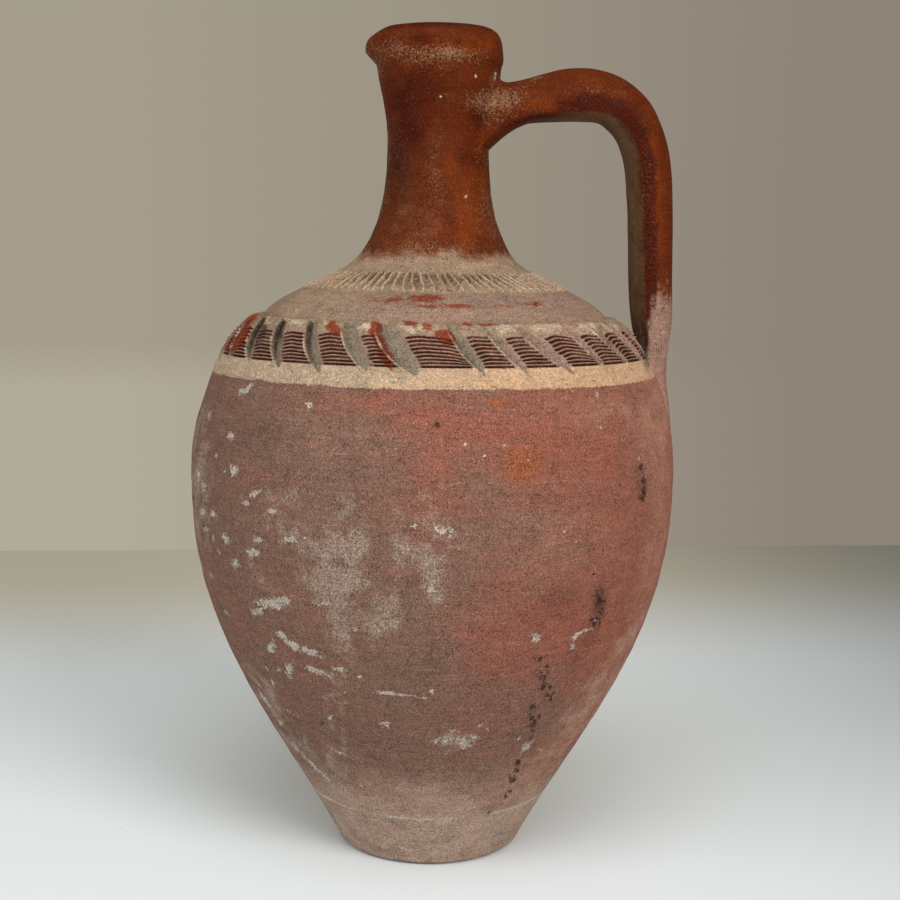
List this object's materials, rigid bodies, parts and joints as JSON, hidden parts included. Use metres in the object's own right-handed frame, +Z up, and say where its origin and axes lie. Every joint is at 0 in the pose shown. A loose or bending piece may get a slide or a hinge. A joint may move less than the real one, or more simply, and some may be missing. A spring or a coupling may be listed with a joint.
{
  "type": "handled water jug",
  "caption": "Hand-thrown red clay water jug: ovoid body on a small foot, tall flared neck with a pinched spout, strap handle, combed band round the shoulder.",
  "frame": {"origin": "centre of the foot's flat underside, on the plane that the jug stands on", "axes": "+Z up the jug's axis, +X towards the handle, the spout towards -X"},
  "size_m": [0.2252, 0.2244, 0.3792],
  "materials": {
    "body_clay": "matt fired red clay, dusty, with pale mineral bloom and flecks",
    "foot_clay": "matt greyish beige clay, scuffed",
    "shoulder_slip": "matt pinkish cream slip",
    "band_clay": "matt cream slip, combed through to dark clay",
    "neck_slip": "burnished red-brown slip, satin, dusted with pale specks"
  },
  "bodies": {
    "root": {"foot": "foot_clay", "lower_body": "body_clay", "upper_body": "body_clay", "shoulder": "shoulder_slip", "comb_band": "band_clay", "neck_coil": "shoulder_slip", "neck": "neck_slip", "mouth_rim": "neck_slip", "handle": "neck_slip", "upper_wad": "neck_slip", "lower_wad": "body_clay"}
  },
  "joints": []
}
